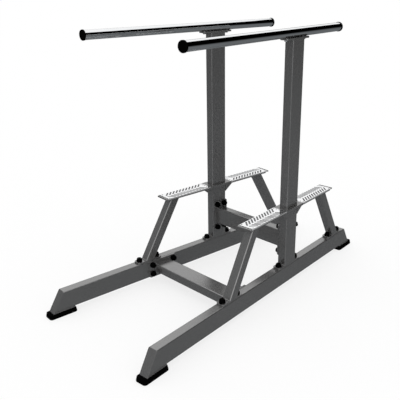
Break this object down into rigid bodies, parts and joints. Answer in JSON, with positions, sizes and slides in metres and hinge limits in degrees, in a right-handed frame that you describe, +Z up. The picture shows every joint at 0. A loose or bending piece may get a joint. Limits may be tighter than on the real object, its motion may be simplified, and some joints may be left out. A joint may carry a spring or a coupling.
{
  "type": "dip station",
  "caption": "Free-standing dip station: long grip bars on uprights that spread apart to the front, perforated foot steps on leaning legs, and floor rails on rubber feet, joined by crossmembers.",
  "frame": {"origin": "on the floor under the middle of the footprint, halfway between the frames and halfway between the front and rear ends of the feet", "axes": "+X to the right across the frames, +Y to the rear, +Z up; the bars and rails run along Y and spread apart to the front by 5 degrees a side"},
  "size_m": [0.7956, 1.8282, 1.3885],
  "materials": {
    "frame_paint": "satin dark grey powder coat",
    "plank_zinc": "smooth bright galvanised sheet",
    "bar_chrome": "polished chrome plate",
    "foot_rubber": "matt black",
    "black_plastic": "matt black moulded",
    "bright_steel": "zinc plated, bright"
  },
  "bodies": {
    "root": {"rail_left": "frame_paint", "upright_left": "frame_paint", "step_bracket_left": "frame_paint", "bar_left": "bar_chrome", "leg_front_left": "frame_paint", "plank_front_left": "plank_zinc", "bar_cap_front_left": "black_plastic", "foot_front_left": "foot_rubber", "upright_bolt_front_left": "black_plastic", "leg_front_bolt_1_left": "black_plastic", "leg_front_bolt_2_left": "black_plastic", "bar_bolt_front_left": "bright_steel", "crossmember_front_bolt_1_left": "black_plastic", "crossmember_front_bolt_2_left": "black_plastic", "crossmember_front_bolt_3_left": "black_plastic", "crossmember_front_bolt_4_left": "black_plastic", "leg_rear_left": "frame_paint", "plank_rear_left": "plank_zinc", "bar_cap_rear_left": "black_plastic", "foot_rear_left": "foot_rubber", "upright_bolt_rear_left": "black_plastic", "leg_rear_bolt_1_left": "black_plastic", "leg_rear_bolt_2_left": "black_plastic", "bar_bolt_rear_left": "bright_steel", "crossmember_rear_bolt_1_left": "black_plastic", "crossmember_rear_bolt_2_left": "black_plastic", "crossmember_rear_bolt_3_left": "black_plastic", "crossmember_rear_bolt_4_left": "black_plastic", "rail_right": "frame_paint", "upright_right": "frame_paint", "step_bracket_right": "frame_paint", "bar_right": "bar_chrome", "leg_front_right": "frame_paint", "plank_front_right": "plank_zinc", "bar_cap_front_right": "black_plastic", "foot_front_right": "foot_rubber", "upright_bolt_front_right": "black_plastic", "leg_front_bolt_1_right": "black_plastic", "leg_front_bolt_2_right": "black_plastic", "bar_bolt_front_right": "bright_steel", "crossmember_front_bolt_1_right": "black_plastic", "crossmember_front_bolt_2_right": "black_plastic", "crossmember_front_bolt_3_right": "black_plastic", "crossmember_front_bolt_4_right": "black_plastic", "leg_rear_right": "frame_paint", "plank_rear_right": "plank_zinc", "bar_cap_rear_right": "black_plastic", "foot_rear_right": "foot_rubber", "upright_bolt_rear_right": "black_plastic", "leg_rear_bolt_1_right": "black_plastic", "leg_rear_bolt_2_right": "black_plastic", "bar_bolt_rear_right": "bright_steel", "crossmember_rear_bolt_1_right": "black_plastic", "crossmember_rear_bolt_2_right": "black_plastic", "crossmember_rear_bolt_3_right": "black_plastic", "crossmember_rear_bolt_4_right": "black_plastic", "crossmember_front": "frame_paint", "crossmember_rear": "frame_paint"}
  },
  "joints": []
}
